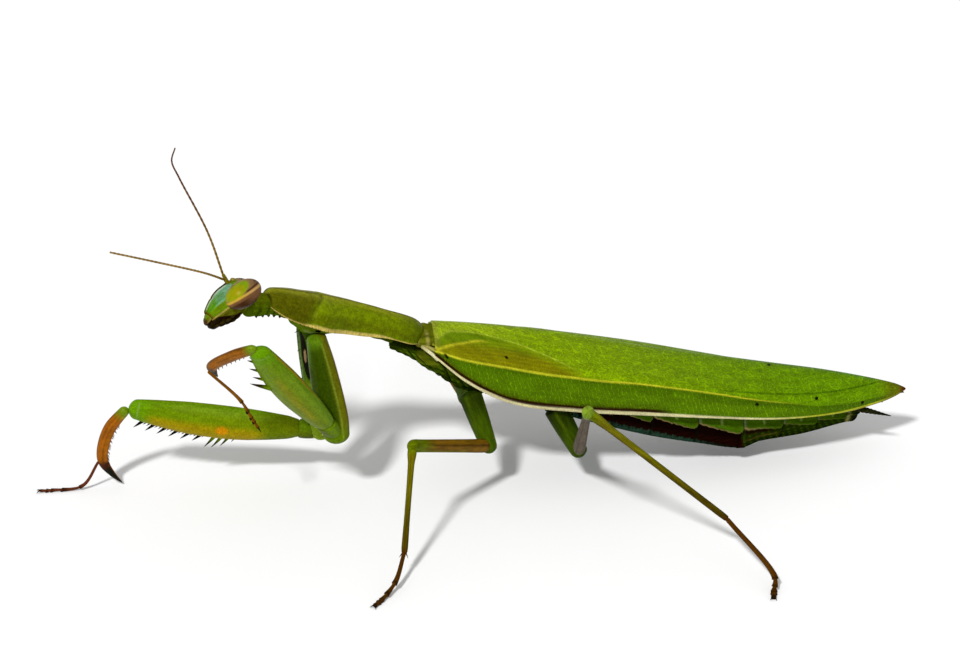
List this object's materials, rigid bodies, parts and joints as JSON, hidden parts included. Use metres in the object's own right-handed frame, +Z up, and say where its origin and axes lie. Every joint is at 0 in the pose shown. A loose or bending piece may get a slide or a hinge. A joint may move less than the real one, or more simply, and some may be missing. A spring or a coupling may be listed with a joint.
{
  "type": "praying mantis",
  "caption": "Green praying mantis standing on its legs with the body sloping up to a turned head, folded wings over the back and toothed grasping forelegs held out in front.",
  "frame": {"origin": "On the floor, under the middle of the outline seen from above.", "axes": "+X points from the head toward the wing tips, +Y to the right side of the body and +Z up. The body slopes, so the head is also the highest part apart from the feelers."},
  "size_m": [0.0898, 0.0622, 0.0385],
  "materials": {
    "shield": "finely granulate, satin, olive brown in front and green behind",
    "skin": "satin green cuticle",
    "eye": "smooth, glossy, banded yellow-green, pink and red-brown",
    "mouth": "dark brown, satin",
    "feeler": "brown, dull",
    "wing": "veined leaf green with an ivory outer edge",
    "belly": "green with tan stripes, satin",
    "arm": "granular green with a yellow flush, satin",
    "claw": "orange brown to black, glossy tip",
    "leg": "olive to brown, satin, finely haired",
    "foot": "brown, dull"
  },
  "bodies": {
    "root": {"pronotum": "shield", "prothorax": "skin", "eye_left": "eye", "eye_right": "eye", "head": "skin", "clypeus": "mouth", "jaws": "mouth", "antenna_left": "feeler", "antenna_right": "feeler", "neck": "skin", "mesothorax": "skin", "metathorax": "skin", "forewing_left": "wing", "forewing_right": "wing", "abdomen_1": "belly", "abdomen_2": "belly", "abdomen_3": "belly", "abdomen_4": "belly", "abdomen_5": "belly", "abdomen_6": "belly", "abdomen_7": "belly", "abdomen_8": "belly", "subgenital_plate": "belly", "cercus_left": "foot", "fore_left_coxa": "arm", "fore_left_trochanter": "arm", "fore_left_femur": "arm", "fore_left_tibia": "claw", "fore_left_tarsus": "foot", "mid_left_coxa": "skin", "mid_left_femur": "leg", "mid_left_tibia": "leg", "mid_left_tarsus": "foot", "hind_left_coxa": "skin", "hind_left_femur": "leg", "hind_left_tibia": "leg", "hind_left_tarsus": "foot", "cercus_right": "foot", "fore_right_coxa": "arm", "fore_right_trochanter": "arm", "fore_right_femur": "arm", "fore_right_tibia": "claw", "fore_right_tarsus": "foot", "mid_right_coxa": "skin", "mid_right_femur": "leg", "mid_right_tibia": "leg", "mid_right_tarsus": "foot", "hind_right_coxa": "skin", "hind_right_femur": "leg", "hind_right_tibia": "leg", "hind_right_tarsus": "foot"}
  },
  "joints": []
}
